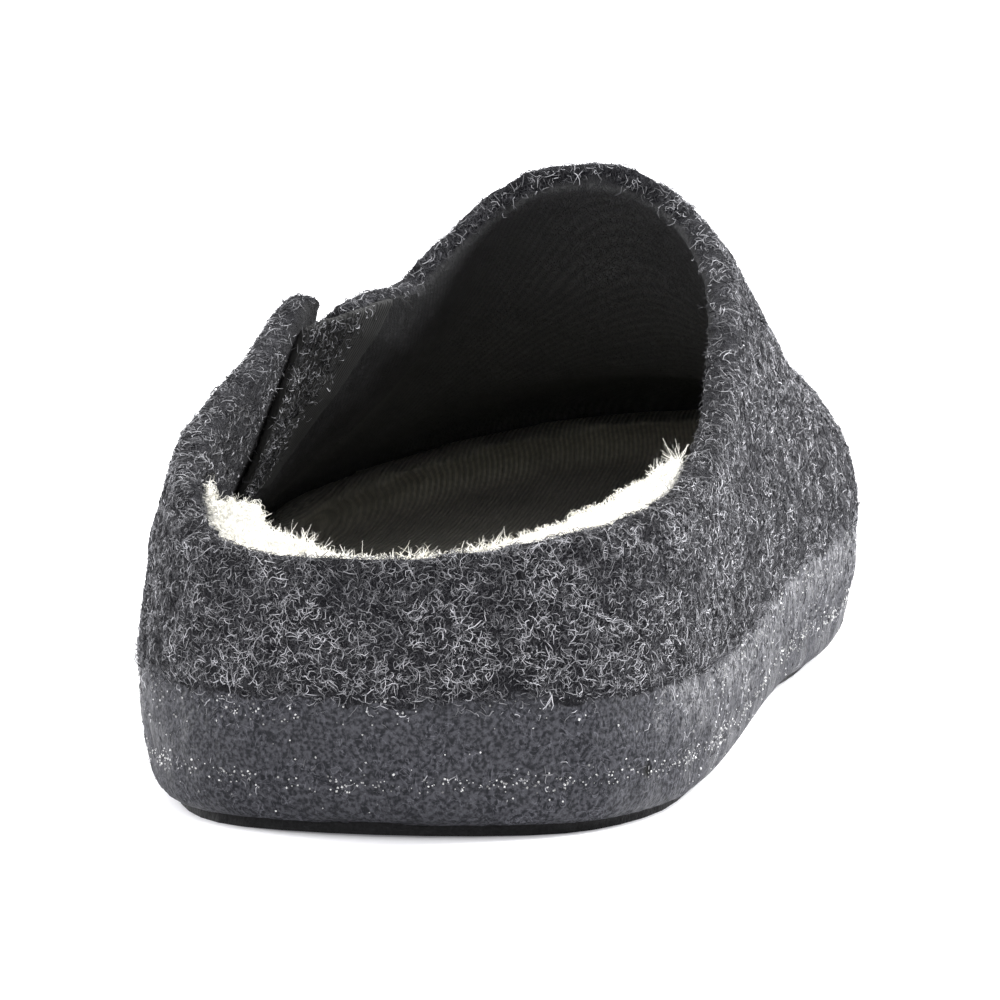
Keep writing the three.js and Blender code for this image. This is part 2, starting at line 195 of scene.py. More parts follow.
def ribbons(name, roots, normals, rng, length, width, curl, lift, free, steps, lean=None):
    """Fibres as thin curved strips in one mesh.

    lift is how far each stands off, free is the share of those whose end stands free, and lean is a
    direction that they comb towards.
    """
    count = len(roots)
    side = rng.normal(size=(count, 3))
    if lean is not None:
        side = side * 0.45 + lean
    side -= (side * normals).sum(axis=1)[:, None] * normals
    side /= np.linalg.norm(side, axis=1)[:, None]
    other = np.cross(normals, side)
    along = np.linspace(0, 1, steps + 1)
    turn = rng.normal(size=(count, 1)) * curl
    wobble = rng.normal(size=(count, 1)) * curl * 0.25
    phase = rng.uniform(0, 6.28, (count, 1))
    heading = turn * along + wobble * np.sin(5 * along + phase)
    reach = (length * rng.uniform(0.55, 1.25, count))[:, None] / steps
    step_a = np.cos(heading) * reach
    step_b = np.sin(heading) * reach
    go_a = np.cumsum(step_a, axis=1) - step_a[:, :1]
    go_b = np.cumsum(step_b, axis=1) - step_b[:, :1]
    stands_free = (rng.random(count) < free)[:, None]
    arc = np.where(stands_free, along ** 1.4, (4 * along * (1 - along)) ** 0.8)
    height = arc * (lift * rng.uniform(0.2, 1.4, count))[:, None] - ROOT_DEPTH
    path = (roots[:, None] + go_a[..., None] * side[:, None] + go_b[..., None] * other[:, None]
            + height[..., None] * normals[:, None])
    tangent = np.gradient(path, axis=1)
    facing = normals + rng.normal(size=(count, 3)) * 0.7
    across = np.cross(tangent, facing[:, None])
    across /= np.linalg.norm(across, axis=2)[..., None] + 1e-12
    thin = (1 - (1 - FIBRE_TIP) * along ** 2)[None, :, None]
    half = (width * rng.uniform(0.6, 1.3, count))[:, None, None] * thin / 2
    corners = np.stack([path - across * half, path + across * half], axis=2).reshape(-1, 3)
    first = (np.arange(count) * (steps + 1) * 2)[:, None] + np.arange(steps) * 2
    faces = np.stack([first, first + 1, first + 3, first + 2], axis=2).reshape(-1, 4)
    mesh = bpy.data.meshes.new(name)
    mesh.vertices.add(len(corners))
    mesh.vertices.foreach_set("co", corners.astype(np.float32).ravel())
    mesh.loops.add(faces.size)
    mesh.loops.foreach_set("vertex_index", faces.astype(np.int32).ravel())
    mesh.polygons.add(len(faces))
    mesh.polygons.foreach_set("loop_start", np.arange(0, faces.size, 4, dtype=np.int32))
    mesh.polygons.foreach_set("loop_total", np.full(len(faces), 4, np.int32))
    mesh.update(calc_edges=True)
    mesh.validate()
    point_value(mesh, "shade", np.repeat(rng.random(count) ** 2.3, (steps + 1) * 2))
    piece = bpy.data.objects.new(name, mesh)
    bpy.context.collection.objects.link(piece)
    activate(piece)
    bpy.ops.object.shade_smooth()
    return piece


def specks(name, roots, normals, rng, size):
    """Small rough beads in one mesh, each an eight-sided grain sunk halfway in."""
    count = len(roots)
    corner = np.array([(1, 0, 0), (-1, 0, 0), (0, 1, 0), (0, -1, 0), (0, 0, 1), (0, 0, -1)], float)
    faces = np.array([(0, 2, 4), (2, 1, 4), (1, 3, 4), (3, 0, 4),
                      (2, 0, 5), (1, 2, 5), (3, 1, 5), (0, 3, 5)])
    radius = (size * rng.uniform(0.5, 1.4, count))[:, None, None]
    points = corner * rng.uniform(0.7, 1.3, (count, 6, 1)) @ np.linalg.qr(rng.normal(size=(count, 3, 3)))[0]
    points = roots[:, None] + points * radius + normals[:, None] * radius * 0.2
    mesh = bpy.data.meshes.new(name)
    index = (faces + 6 * np.arange(count)[:, None, None]).reshape(-1, 3)
    mesh.from_pydata(points.reshape(-1, 3).tolist(), [], index.tolist())
    point_value(mesh, "shade", np.repeat(rng.random(count), 6))
    piece = bpy.data.objects.new(name, mesh)
    bpy.context.collection.objects.link(piece)
    activate(piece)
    bpy.ops.object.mode_set(mode="EDIT")
    bpy.ops.mesh.select_all(action="SELECT")
    bpy.ops.mesh.normals_make_consistent(inside=False)
    bpy.ops.object.mode_set(mode="OBJECT")
    return piece


# Materials

def new_group(name, inputs, outputs):
    """A shader node group with its sockets, and its input and output nodes."""
    group = bpy.data.node_groups.new(name, "ShaderNodeTree")
    for label, kind, value in inputs:
        socket = group.interface.new_socket(label, in_out="INPUT", socket_type="NodeSocket" + kind)
        if value is not None:
            socket.default_value = value
    for label, kind in outputs:
        group.interface.new_socket(label, in_out="OUTPUT", socket_type="NodeSocket" + kind)
    return group, group.nodes.new("NodeGroupInput"), group.nodes.new("NodeGroupOutput")


def noise(tree, vector, scale, detail=3.0, distortion=0.0):
    node = tree.nodes.new("ShaderNodeTexNoise")
    node.inputs["Scale"].default_value = scale
    node.inputs["Detail"].default_value = detail
    node.inputs["Distortion"].default_value = distortion
    tree.links.new(vector, node.inputs["Vector"])
    return node.outputs["Fac"]


def compute(tree, operation, first, second=None, third=None):
    node = tree.nodes.new("ShaderNodeMath")
    node.operation = operation
    for i, value in enumerate((first, second, third)):
        if value is None:
            continue
        if isinstance(value, (int, float)):
            node.inputs[i].default_value = value
        else:
            tree.links.new(value, node.inputs[i])
    return node.outputs[0]


def span(tree, value, low, high, to_low=0.0, to_high=1.0):
    node = tree.nodes.new("ShaderNodeMapRange")
    node.interpolation_type = "SMOOTHSTEP"
    tree.links.new(value, node.inputs["Value"])
    for label, number in (("From Min", low), ("From Max", high), ("To Min", to_low), ("To Max", to_high)):
        node.inputs[label].default_value = number
    return node.outputs["Result"]


def blend_colour(tree, share, first, second):
    node = tree.nodes.new("ShaderNodeMix")
    node.data_type = "RGBA"
    for label, value in (("Factor", share), ("A", first), ("B", second)):
        socket = node.inputs[label]
        if isinstance(value, bpy.types.NodeSocket):
            tree.links.new(value, socket)
        elif isinstance(value, (int, float)):
            socket.default_value = value
        else:
            socket.default_value = (*value, 1)
    return node.outputs["Result"]


def material(name, group, values, roughness=0.9, specular=0.3, sheen=0.0):
    """A Principled material fed by one of the groups, and its nodes."""
    made = bpy.data.materials.new(name)
    made.use_nodes = True
    tree = made.node_tree
    shader = tree.nodes["Principled BSDF"]
    shader.inputs["Roughness"].default_value = roughness
    shader.inputs["Specular IOR Level"].default_value = specular
    shader.inputs["Sheen Weight"].default_value = sheen
    shader.inputs["Sheen Roughness"].default_value = 0.5
    relief = tree.nodes.new("ShaderNodeBump")
    relief.inputs["Distance"].default_value = RELIEF
    tree.links.new(relief.outputs["Normal"], shader.inputs["Normal"])
    place = tree.nodes.new("ShaderNodeTexCoord").outputs["Object"]
    node = use_group(tree, group, place, values)
    tree.links.new(node.outputs["Height"], relief.inputs["Height"])
    tree.links.new(node.outputs["Colour"], shader.inputs["Base Color"])
    return made, shader, relief, node


def use_group(tree, group, place, values):
    node = tree.nodes.new("ShaderNodeGroup")
    node.node_tree = group
    tree.links.new(place, node.inputs["Place"])
    for label, value in values.items():
        if isinstance(value, bpy.types.NodeSocket):
            tree.links.new(value, node.inputs[label])
        else:
            node.inputs[label].default_value = value
    return node


def attribute(tree, name):
    node = tree.nodes.new("ShaderNodeAttribute")
    node.attribute_name = name
    return node.outputs["Fac"]


def curled_strands(tree, place, scale, thin, turn):
    """Thin curled lines, 1 along each and 0 between them."""
    stretch = tree.nodes.new("ShaderNodeMapping")
    stretch.inputs["Scale"].default_value = (1, 0.55, 0.8)
    stretch.inputs["Rotation"].default_value = turn
    tree.links.new(place, stretch.inputs["Vector"])
    level = noise(tree, stretch.outputs["Vector"], scale, 2, 1.8)
    away = compute(tree, "ABSOLUTE", compute(tree, "SUBTRACT", level, 0.5))
    return span(tree, away, thin, 0.0)


def wool_group():
    """Matted wool: curled fibres in three layers over a dark heather base."""
    group, start, end = new_group(
        "matted wool",
        [("Place", "Vector", None), ("Dark", "Color", (0.004, 0.004, 0.0055, 1)),
         ("Pale", "Color", (0.15, 0.15, 0.165, 1)), ("Cover", "Float", 0.62)],
        [("Colour", "Color"), ("Height", "Float")])
    place = start.outputs["Place"]
    fine = curled_strands(group, place, 900, 0.05, (0.3, 0.8, 0.1))
    middle = curled_strands(group, place, 620, 0.035, (1.2, 0.2, 0.9))
    coarse = curled_strands(group, place, 420, 0.022, (0.7, 1.5, 0.4))
    patches = span(group, noise(group, place, 190, 4), 0.35, 0.65, 0.25, 1.0)
    strands = compute(group, "MAXIMUM", compute(group, "MULTIPLY", fine, 0.55),
                      compute(group, "MAXIMUM", compute(group, "MULTIPLY", middle, 0.8), coarse))
    share = compute(group, "MULTIPLY", compute(group, "MULTIPLY", strands, patches), start.outputs["Cover"])
    mottle = span(group, noise(group, place, 900, 3), 0.4, 0.8, 0.0, 0.08)
    share = compute(group, "MINIMUM", compute(group, "ADD", share, mottle), 1.0)
    group.links.new(blend_colour(group, share, start.outputs["Dark"], start.outputs["Pale"]),
                    end.inputs["Colour"])
    height = compute(group, "MULTIPLY_ADD", strands, 0.3, compute(group, "MULTIPLY", patches, 0.25))
    group.links.new(height, end.inputs["Height"])
    return group


def coat_group():
    """Rubber laid over felt: small bumps, faint threads under it, and pale scuff-like marks on its sides
    that are a painted highlight of grazing light.
    """
    group, start, end = new_group(
        "laid-on rubber",
        [("Place", "Vector", None), ("Dark", "Color", (0.01, 0.0105, 0.013, 1)),
         ("Pale", "Color", (0.088, 0.088, 0.1, 1)), ("Painted side sheen", "Float", 0.0)],
        [("Colour", "Color"), ("Height", "Float"), ("Roughness", "Float")])
    place = start.outputs["Place"]
    smooth = span(group, noise(group, place, 120, 3), 0.42, 0.6)
    grain = noise(group, place, 1500, 3)
    bumps = noise(group, place, 430, 3, 0.3)
    threads = curled_strands(group, place, 420, 0.02, (0.4, 0.2, 0.8))
    dulled = compute(group, "MULTIPLY", threads, span(group, smooth, 0.0, 1.0, 0.75, 0.25))
    tone = compute(group, "MULTIPLY_ADD", span(group, grain, 0.36, 0.66), 0.5, dulled)
    colour = blend_colour(group, tone, start.outputs["Dark"], start.outputs["Pale"])
    # Pale scuff-like marks as strong as the side sheen input: a painted highlight of light grazing the
    # sides
    sheen_marks = compute(group, "MAXIMUM", curled_strands(group, place, 560, 0.05, (0.1, 0.3, 0.2)),
                     span(group, noise(group, place, 1000, 2), 0.5, 0.6))
    sheen_marks = compute(group, "MULTIPLY", sheen_marks, span(group, noise(group, place, 210, 3), 0.3, 0.62))
    colour = blend_colour(group, compute(group, "MULTIPLY", sheen_marks, start.outputs["Painted side sheen"]), colour,
                          (0.18, 0.18, 0.188))
    group.links.new(colour, end.inputs["Colour"])
    height = compute(group, "MULTIPLY_ADD", grain, 0.28, compute(group, "MULTIPLY", bumps, 0.6))
    group.links.new(height, end.inputs["Height"])
    group.links.new(span(group, smooth, 0.0, 1.0, 0.75, 0.5), end.inputs["Roughness"])
    return group


def coat_edge_group():
    """1 over the coat's ragged top edge, 0 on the coat."""
    group, start, end = new_group(
        "coat edge", [("Place", "Vector", None), ("Over edge in mm", "Float", 0.0)], [("Felt", "Float")])
    place = start.outputs["Place"]
    ragged = compute(group, "SUBTRACT", noise(group, place, 150, 4, 0.5), 0.5)
    over = compute(group, "ADD", start.outputs["Over edge in mm"], compute(group, "MULTIPLY", ragged, 9.0))
    group.links.new(span(group, over, -0.25, 0.25), end.inputs["Felt"])
    return group


def ribbed_group():
    """Cloth with close straight ribs, made lighter by the painted light input."""
    group, start, end = new_group(
        "ribbed cloth",
        [("Place", "Vector", None), ("Dark", "Color", (0.07, 0.067, 0.057, 1)),
         ("Pale", "Color", (0.145, 0.139, 0.12, 1)), ("Across", "Vector", (1.0, 0.0, 0.0)),
         ("Ribs per metre", "Float", 1300.0), ("Painted light under vamp", "Float", 0.0)],
        [("Colour", "Color"), ("Height", "Float")])
    place = start.outputs["Place"]
    dot = group.nodes.new("ShaderNodeVectorMath")
    dot.operation = "DOT_PRODUCT"
    group.links.new(place, dot.inputs[0])
    group.links.new(start.outputs["Across"], dot.inputs[1])
    wander = compute(group, "MULTIPLY", noise(group, place, 60, 2), 0.0003)
    phase = compute(group, "MULTIPLY", compute(group, "ADD", dot.outputs["Value"], wander),
                    start.outputs["Ribs per metre"])
    rib = compute(group, "SINE", compute(group, "MULTIPLY", phase, 2 * math.pi))
    rib = span(group, rib, -0.8, 0.8)
    fluff = noise(group, place, 1200, 4)
    cover = span(group, noise(group, place, 60, 3), 0.3, 0.7, 0.55, 1.0)
    shade = compute(group, "MULTIPLY", compute(group, "MULTIPLY", span(group, rib, 0, 1, 0.45, 1.0),
                                               span(group, fluff, 0.3, 0.7, 0.5, 1.0)), cover)
    # Painted light: the cloth's colour is scaled by one plus three times the input
    painted_light_under_vamp = group.nodes.new("ShaderNodeVectorMath")
    painted_light_under_vamp.operation = "SCALE"
    cloth = blend_colour(group, shade, start.outputs["Dark"], start.outputs["Pale"])
    group.links.new(cloth, painted_light_under_vamp.inputs[0])
    group.links.new(compute(group, "MULTIPLY_ADD", start.outputs["Painted light under vamp"], 3.0, 1.0), painted_light_under_vamp.inputs["Scale"])
    group.links.new(painted_light_under_vamp.outputs["Vector"], end.inputs["Colour"])
    height = compute(group, "MULTIPLY", compute(group, "MULTIPLY_ADD", fluff, 0.5, rib), 0.12)
    group.links.new(height, end.inputs["Height"])
    return group


wool, laid_rubber, coat_edge, ribbed = wool_group(), coat_group(), coat_edge_group(), ribbed_group()


def moulded_material(name, specular, sheen):
    """Felt over the coat's edge and rubber under it; the thin dark lining inside the vamp, with painted
    shade behind the slit and painted light deeper in; a pit in painted shade.
    """
    made, shader, relief, felt_node = material(name, wool, {}, specular=specular, sheen=sheen)
    shader.inputs["Sheen Tint"].default_value = (0.75, 0.75, 0.8, 1)
    tree = made.node_tree
    place = felt_node.inputs["Place"].links[0].from_socket
    rubber_node = use_group(tree, laid_rubber, place, {"Painted side sheen": attribute(tree, "painted_side_sheen")})
    # The lining, made lighter deep under the vamp as painted light
    lining = use_group(tree, ribbed, place, {
        "Dark": (0.014, 0.014, 0.0145, 1), "Pale": (0.022, 0.022, 0.0225, 1), "Across": (0.2, 0.7, 0.7),
        "Ribs per metre": 1100.0, "Painted light under vamp": compute(tree, "MULTIPLY", attribute(tree, "deep"), 2.8)})
    edge = use_group(tree, coat_edge, place, {"Over edge in mm": attribute(tree, "over_edge_mm")})
    lining_and_painted_shade = attribute(tree, "lining_and_painted_shade")
    is_felt = edge.outputs["Felt"]
    colour = blend_colour(tree, lining_and_painted_shade, felt_node.outputs["Colour"], lining.outputs["Colour"])
    colour = blend_colour(tree, is_felt, rubber_node.outputs["Colour"], colour)
    # A small pit in the coat, sunk by the relief and coloured near black as painted shade
    pit = tree.nodes.new("ShaderNodeVectorMath")
    pit.operation = "DISTANCE"
    pit.inputs[1].default_value = COAT_PIT
    tree.links.new(place, pit.inputs[0])
    in_pit = span(tree, pit.outputs["Value"], 0.0016, 0.0007)
    tree.links.new(blend_colour(tree, in_pit, colour, (0.004, 0.004, 0.004)), shader.inputs["Base Color"])
    height = tree.nodes.new("ShaderNodeMix")
    for label, socket in (("Factor", is_felt), ("A", rubber_node.outputs["Height"]),
                          ("B", felt_node.outputs["Height"])):
        tree.links.new(socket, height.inputs[label])
    lowered = compute(tree, "SUBTRACT", height.outputs["Result"], in_pit)
    tree.links.new(lowered, relief.inputs["Height"])
    tree.links.new(compute(tree, "MAXIMUM", rubber_node.outputs["Roughness"],
                           compute(tree, "MULTIPLY", is_felt, 0.95)), shader.inputs["Roughness"])
    return made


def strand_material(name, dark, pale, roughness, sheen=0.0):
    """Fibres or grains, each with a tone of its own, in lighter and darker patches."""
    made = bpy.data.materials.new(name)
    made.use_nodes = True
    tree = made.node_tree
    shader = tree.nodes["Principled BSDF"]
    place = tree.nodes.new("ShaderNodeTexCoord").outputs["Object"]
    patches = span(tree, noise(tree, place, 150, 3), 0.35, 0.65, 0.45, 1.0)
    tone = compute(tree, "MULTIPLY", attribute(tree, "shade"), patches)
    tree.links.new(blend_colour(tree, tone, dark, pale), shader.inputs["Base Color"])
    shader.inputs["Roughness"].default_value = roughness
    shader.inputs["Specular IOR Level"].default_value = 0.12
    shader.inputs["Sheen Weight"].default_value = sheen
    return made


felt = moulded_material("charcoal felt", 0.08, 0.05)
coat = moulded_material("rubber coat", 0.12, 0.0)
tread_rubber = material("black rubber", laid_rubber, {
    "Dark": (0.003, 0.003, 0.0035, 1), "Pale": (0.012, 0.012, 0.013, 1)}, 0.75, 0.25)[0]
# The footbed's cloth, made lighter deep under the vamp as painted light
footbed_cloth, _, _, footbed_node = material("ribbed footbed cloth", ribbed, {}, sheen=0.1)
footbed_cloth.node_tree.links.new(attribute(footbed_cloth.node_tree, "deep"), footbed_node.inputs["Painted light under vamp"])
elastic_cloth = material("black elastic", ribbed, {
    "Dark": (0.014, 0.014, 0.014, 1), "Pale": (0.03, 0.03, 0.03, 1), "Across": (0.25, 0.95, 0.0),
    "Ribs per metre": 1400.0})[0]
pile_wool = material("fleece", wool, {
    "Dark": (0.86, 0.84, 0.77, 1), "Pale": (0.95, 0.94, 0.89, 1), "Cover": 0.9}, sheen=0.3)[0]
fibre_grey = strand_material("felt fibre", (0.006, 0.006, 0.008), (0.55, 0.55, 0.58), 0.8)
thread_grey = strand_material("coat thread", (0.05, 0.05, 0.055), (0.55, 0.55, 0.58), 0.8)
fleece_hair = strand_material("fleece hair", (0.84, 0.82, 0.75), (0.95, 0.94, 0.89), 0.7, 0.3)
# Pale beads on the coat: their pale colour is a painted glint off the rubber's bumps
painted_glint_rubber = strand_material("pale painted glint", (0.15, 0.15, 0.15), (0.9, 0.9, 0.9), 0.35)


# The moulded body: felt that is coated with rubber up to an edge all round

def over_edge(co):
    """Height over the coat's top edge."""
    return co[:, 2] - ground_rise(co[:, 1]) - BAND_TOP


def round_rim(piece):
    """Rolls the felt's cut edge round over the thickness of the wall."""
    co, normal = read_points(piece.data), read_points(piece.data, "normal")
    facing = (normal * outward(co)).sum(axis=1)
    near = (1 - smoothstep(0.5, 0.85, np.abs(facing))) * smoothstep(0.006, 0.01, over_edge(co))
    set_points(piece.data, co + normal * (0.0006 * near)[:, None])
    group = piece.vertex_groups.new(name="rim")
    levels = 10
    for level in range(1, levels + 1):
        at_level = np.flatnonzero(np.round(near * levels) == level)
        group.add(at_level.tolist(), level / levels, "REPLACE")
    apply(piece, "SMOOTH", factor=0.5, iterations=22, vertex_group="rim")
    piece.vertex_groups.clear()


def moulded_body():
    body = copy_of("upper", "moulded body")
    foot = copy_of("sole_cup", "moulded foot")
    activate(body)
    foot.select_set(True)
    bpy.ops.object.join()
    body = without_islands(softened(body, BODY_GRAIN, 5))
    round_rim(body)
    mesh = body.data
    co, normal = read_points(mesh), read_points(mesh, "normal")
    # Soft lumps all over, and a fuller corner under the coat
    out = smoothstep(0.0, 0.4, (normal * outward(co)).sum(axis=1))
    off_floor = smoothstep(0.003, 0.008, co[:, 2] - ground_rise(co[:, 1]))
    lumps = 0.0002 * waves(co, 0.011, 5) + 0.0001 * waves(co, 0.005, 6)
    corner = 0.0006 * (1 - smoothstep(0.004, 0.008, co[:, 2] - ground_rise(co[:, 1])))
    set_points(mesh, co + normal * (out * (off_floor * lumps + corner))[:, None])
    return body


def depth_inside(co):
    """How far a point lies under the vamp: 0 at the slit, 1 well under it."""
    return smoothstep(SLIT, UNDER_VAMP, co[:, 1])


def part_of(body, name, over):
    """The part over or under the coat's edge, closed across the thickness of the wall."""
    piece = bpy.data.objects.new(name, body.data.copy())
    bpy.context.collection.objects.link(piece)
    co = read_points(piece.data)
    rise = np.array([0, 0, 1]) * ground_rise(co[:, 1])[:, None]
    set_points(piece.data, co - rise)
    activate(piece)
    bpy.ops.object.mode_set(mode="EDIT")
    bpy.ops.mesh.select_mode(type="EDGE")
    bpy.ops.mesh.select_all(action="SELECT")
    bpy.ops.mesh.bisect(plane_co=(0, 0, BAND_TOP), plane_no=(0, 0, 1), clear_inner=over,
                        clear_outer=not over)
    bpy.ops.mesh.select_all(action="DESELECT")
    bpy.ops.mesh.select_non_manifold(extend=False, use_wire=False, use_multi_face=False,
                                     use_non_contiguous=False, use_verts=False)
    bpy.ops.mesh.bridge_edge_loops()
    bpy.ops.mesh.select_all(action="SELECT")
    bpy.ops.mesh.normals_make_consistent(inside=False)
    bpy.ops.object.mode_set(mode="OBJECT")
    co = read_points(piece.data)
    set_points(piece.data, co + np.array([0, 0, 1]) * ground_rise(co[:, 1])[:, None])
    activate(piece)
    bpy.ops.object.shade_smooth_by_angle(angle=math.radians(50))
    co, normal = read_points(piece.data), read_points(piece.data, "normal")
    inside = 1 - smoothstep(-0.3, 0.0, (normal * outward(co)).sum(axis=1))
    # The lining's mask fades in from 24 mm to 6 mm behind the slit: painted shade on the felt's inner face
    # there
    front = smoothstep(SLIT - 0.024, SLIT - 0.006, co[:, 1] + 0.002 * waves(co, 0.02, 9))
    height = over_edge(co) + BAND_TOP
    # The side-facing coat, where pale marks are painted as the highlight of light grazing it
    sheen_sides = smoothstep(0.84, 1.0, np.abs(normal[:, 0])) * smoothstep(0.006, 0.02, height) ** 2
    point_value(piece.data, "lining_and_painted_shade", inside * front)
    point_value(piece.data, "deep", depth_inside(co))
    point_value(piece.data, "over_edge_mm", 1000 * over_edge(co))
    point_value(piece.data, "painted_side_sheen", sheen_sides)
    return piece


body = moulded_body()
felt_upper = part_of(body, "felt_upper", True)
rubber_coat = part_of(body, "rubber_coat", False)
bpy.data.objects.remove(body)
felt_upper.data.materials.append(felt)
rubber_coat.data.materials.append(coat)


# Footbed, elastic, fleece and tread

def soft_copy(node, name, voxel, rounds, finish):
    piece = softened(copy_of(node, name), voxel, rounds)
    piece.data.materials.append(finish)
    return piece


def hug_ear(piece):
    """Lays the strip's rear half against the standing corner behind the slit."""
    co = read_points(piece.data)
    along = smoothstep(SLIT - EAR_LENGTH, SLIT, co[:, 1])
    up = smoothstep(SLIT_FOOT, SLIT_FOOT + SLIT_DEPTH, co[:, 2])
    co[:, 0] -= EAR_FLARE * (along * up) * (1 - smoothstep(SLIT - 0.01, SLIT - 0.001, co[:, 1]))
    set_points(piece.data, co)


def lower_outer_end(piece):
    """Presses the pile's outer end down under the collar."""
    co = read_points(piece.data)
    outer_end = smoothstep(0.005, 0.03, -co[:, 0]) * smoothstep(0.03, 0.048, co[:, 2])
    co[:, 2] -= FLEECE_END_LOWERED * outer_end
    set_points(piece.data, co)


ribbed_footbed = soft_copy("footbed", "ribbed_footbed", FOOTBED_GRAIN, 3, footbed_cloth)
elastic_strip = soft_copy("gore", "elastic_strip", STRIP_GRAIN, 2, elastic_cloth)
hug_ear(elastic_strip)
point_value(ribbed_footbed.data, "deep", depth_inside(read_points(ribbed_footbed.data)))
fleece_pile = soft_copy("fleece_lining", "fleece_pile", PILE_GRAIN, 3, pile_wool)
lower_outer_end(fleece_pile)
for piece, node, slot in ((felt_upper, "upper", "felt"), (rubber_coat, "sole_cup", "coat"),
                          (ribbed_footbed, "footbed", "footbed_cloth"), (elastic_strip, "gore", "elastic"),
                          (fleece_pile, "fleece_lining", "fleece")):
    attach(piece, "root")
    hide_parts(node)
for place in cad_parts["outsole"].material_slots:
    place.material = tread_rubber


# Felt fibres, fleece hairs, and the coat's threads and specks

def dress(piece, finish):
    piece.data.materials.append(finish)
    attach(piece, "root")


rng = np.random.default_rng(17)

# Where felt shows: outside over the coat, and inside behind the lining and its painted shade
co, normal = read_points(felt_upper.data), read_points(felt_upper.data, "normal")
facing = (normal * outward(co)).sum(axis=1)
on_felt = smoothstep(-0.0012, 0.0006, over_edge(co) + 0.0006 * waves(co, 0.009, 3))
outside = smoothstep(-0.1, 0.25, facing) * on_felt
lining_and_painted_shade = np.empty(len(co), np.float32)
felt_upper.data.attributes["lining_and_painted_shade"].data.foreach_get("value", lining_and_painted_shade)
bare_inside = (1 - smoothstep(-0.1, 0.2, facing)) * (1 - lining_and_painted_shade) * smoothstep(0.001, 0.004, over_edge(co))
behind = 1 - smoothstep(-0.118, -0.045, co[:, 1])
middle = (1 - behind) * (1 - smoothstep(0.03, 0.05, co[:, 1]))

# Each row: the piece, where its fibres grow, how many, their length, how far they stand off, the share with
# a free end, and the steps along each
for name, keep, count, length, lift, free, steps in (
        ("heel_fibres", outside * behind, 24000, 0.0026, 0.0004, 0.1, 4),
        ("side_fibres", outside * middle, 31000, 0.0026, 0.0004, 0.12, 3),
        ("toe_fibres", outside * (1 - behind) * (1 - middle), 15000, 0.0028, 0.0004, 0.1, 3),
        ("inside_fibres", bare_inside, 7000, 0.002, 0.0004, 0.15, 4)):
    roots, normals = scatter(felt_upper, count, keep, rng)
    piece = ribbons(name, roots, normals, rng, length, FIBRE_WIDTH, FIBRE_CURL, lift, free, steps)
    dress(piece, fibre_grey)

# Short fuzz all over the felt, free at its ends
roots, normals = scatter(felt_upper, 7000, on_felt * (1 - lining_and_painted_shade), rng)
fuzz = ribbons("felt_fuzz", roots, normals, rng, 0.0013, 0.00011, 1.4, 0.0009, 1.0, 3)
dress(fuzz, fibre_grey)

# Felt fibres that lap over the rear of the elastic strip
co, normal = read_points(elastic_strip.data), read_points(elastic_strip.data, "normal")
lapped = smoothstep(0.2, 0.6, normal[:, 0]) * (1 - smoothstep(SLIT - 0.006, SLIT + 0.006, co[:, 1]))
roots, normals = scatter(elastic_strip, 1500, lapped, rng)
strip_fibres = ribbons("strip_fibres", roots, normals, rng, 0.002, FIBRE_WIDTH, 2.6, 0.0004, 0.1, 4)
dress(strip_fibres, fibre_grey)

# The coat: two rows of pale beads whose colour is a painted glint, and threads at its edge and on its sides
co, normal = read_points(rubber_coat.data), read_points(rubber_coat.data, "normal")
height = over_edge(co) + BAND_TOP
outside = smoothstep(0.2, 0.5, (normal * outward(co)).sum(axis=1)) * smoothstep(0.003, 0.005, height)
clumps = smoothstep(-0.3, 0.9, waves(co, 0.012, 21))
upper_row = 1.2 * np.exp(-((height - UPPER_SPECKS) / 0.0018) ** 2)
lower_row = np.exp(-((height - LOWER_SPECKS) / 0.0007) ** 2)
rows = clumps * upper_row + (0.3 + clumps) * 4.0 * lower_row + 0.08
roots, normals = scatter(rubber_coat, 2600, outside * rows, rng)
dress(specks("coat_painted_glints", roots, normals, rng, 0.00017), painted_glint_rubber)
# Threads are denser on the side-facing coat, adding to the painted highlight there
sheen_sides = smoothstep(0.84, 1.0, np.abs(normal[:, 0])) * smoothstep(0.004, 0.016, height)
edge = smoothstep(-0.003, -0.0002, over_edge(co))
roots, normals = scatter(rubber_coat, 8000, outside * (rows * 0.6 + 2.2 * sheen_sides + 2.5 * edge), rng)
threads = ribbons("coat_threads", roots, normals, rng, 0.0022, 0.00016, 3.0, 0.0002, 0.1, 3)
dress(threads, thread_grey)

# The fleece: hairs where it shows, and longer tufts in the middle of the back and at the inner end
co, normal = read_points(fleece_pile.data), read_points(fleece_pile.data, "normal")
facing = (normal * outward(co)).sum(axis=1)
showing = 1 - smoothstep(-0.1, 0.5, facing - 0.6 * normal[:, 2])
roots, normals = scatter(fleece_pile, 15000, showing, rng)
lean = np.array([[0.0, 0.0, 0.3]])
hairs = ribbons("fleece_hairs", roots, normals, rng, 0.0017, 0.00012, 2.4, 0.0008, 0.6, 3, lean)
dress(hairs, fleece_hair)
tufted = np.exp(-((co[:, 0] - 0.004) / 0.012) ** 2) + smoothstep(0.036, 0.042, co[:, 0])
crests = tufted * smoothstep(0.5, 0.9, normal[:, 2]) * smoothstep(-0.2, 1.0, waves(co, 0.009, 31))
roots, normals = scatter(fleece_pile, 700, crests, rng)
lean = np.array([[0.0, 0.5, 0.8]])
tufts = ribbons("fleece_tufts", roots, normals, rng, 0.0034, FIBRE_WIDTH, 0.9, 0.0016, 1.0, 5, lean)
dress(tufts, fleece_hair)


# Stage, light and camera

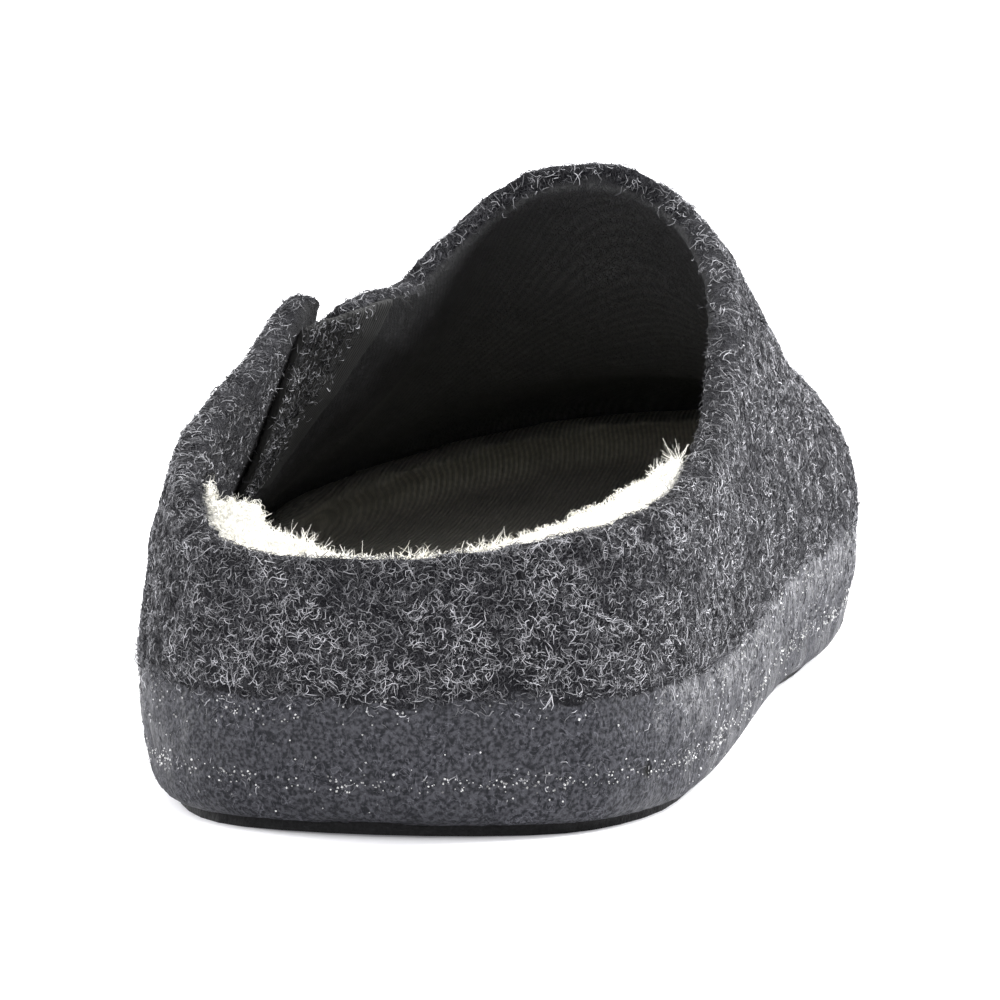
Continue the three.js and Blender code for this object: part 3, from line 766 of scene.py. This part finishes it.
bpy.ops.mesh.primitive_plane_add(size=10, location=(0, 0, 0))
floor = bpy.context.active_object
floor.name = "floor"
paper = bpy.data.materials.new("white paper")
paper.use_nodes = True
paper_shader = paper.node_tree.nodes["Principled BSDF"]
paper_shader.inputs["Base Color"].default_value = (0.88, 0.88, 0.9, 1)
paper_shader.inputs["Roughness"].default_value = 0.9
paper_shader.inputs["Emission Color"].default_value = (0.95, 0.95, 1, 1)
paper_shader.inputs["Emission Strength"].default_value = 0.19
floor.data.materials.append(paper)

scene = bpy.context.scene
scene.view_settings.view_transform = "Standard"
world = bpy.data.worlds.new("studio")
world.use_nodes = True
sky = world.node_tree.nodes["Background"]
sky.inputs["Color"].default_value = (1, 1, 1, 1)
sky.inputs["Strength"].default_value = 0.55
scene.world = world


def area_light(name, place, size, power):
    bpy.ops.object.light_add(type="AREA", location=place)
    light = bpy.context.active_object
    light.name = name
    light.data.shape = "SQUARE"
    light.data.size = size
    light.data.energy = power
    light.rotation_euler = (Vector((0, 0, 0.03)) - Vector(place)).to_track_quat("-Z", "Y").to_euler()


area_light("left of the slipper", (-1.2, 0.4, 0.5), 0.8, 29)
area_light("right of the slipper", (0.95, 0.5, 0.85), 0.8, 56)
bpy.ops.object.light_add(type="SUN", location=(-0.6, -0.8, 2))
sky_light = bpy.context.active_object
sky_light.name = "wide light from above"
sky_light.data.energy = 2.2
sky_light.data.angle = math.radians(80)
sky_light.rotation_euler = Vector((-0.25, -0.75, 1)).to_track_quat("Z", "Y").to_euler()

CAMERA_TURN = math.radians(10.5)
CAMERA_TILT = math.radians(10)
CAMERA_AWAY = 1.5
CAMERA_LENS = 364.7
AIM_RIGHT = 0.01288
AIM_UP = 0.03397
heel = Vector((HEEL_MIDDLE, HEEL_BACK, 0))
flat = math.cos(CAMERA_TILT)
look = Vector((-math.sin(CAMERA_TURN) * flat, math.cos(CAMERA_TURN) * flat, -math.sin(CAMERA_TILT)))
right = Vector((math.cos(CAMERA_TURN), math.sin(CAMERA_TURN), 0))
up = right.cross(look)
camera = bpy.data.objects.new("camera", bpy.data.cameras.new("camera"))
bpy.context.collection.objects.link(camera)
camera.location = heel - look * CAMERA_AWAY
camera.data.lens = CAMERA_LENS
back = -(look + right * AIM_RIGHT + up * AIM_UP).normalized()
side = up.cross(back).normalized()
camera.rotation_euler = Matrix((side, back.cross(side), back)).transposed().to_euler()
scene.camera = camera
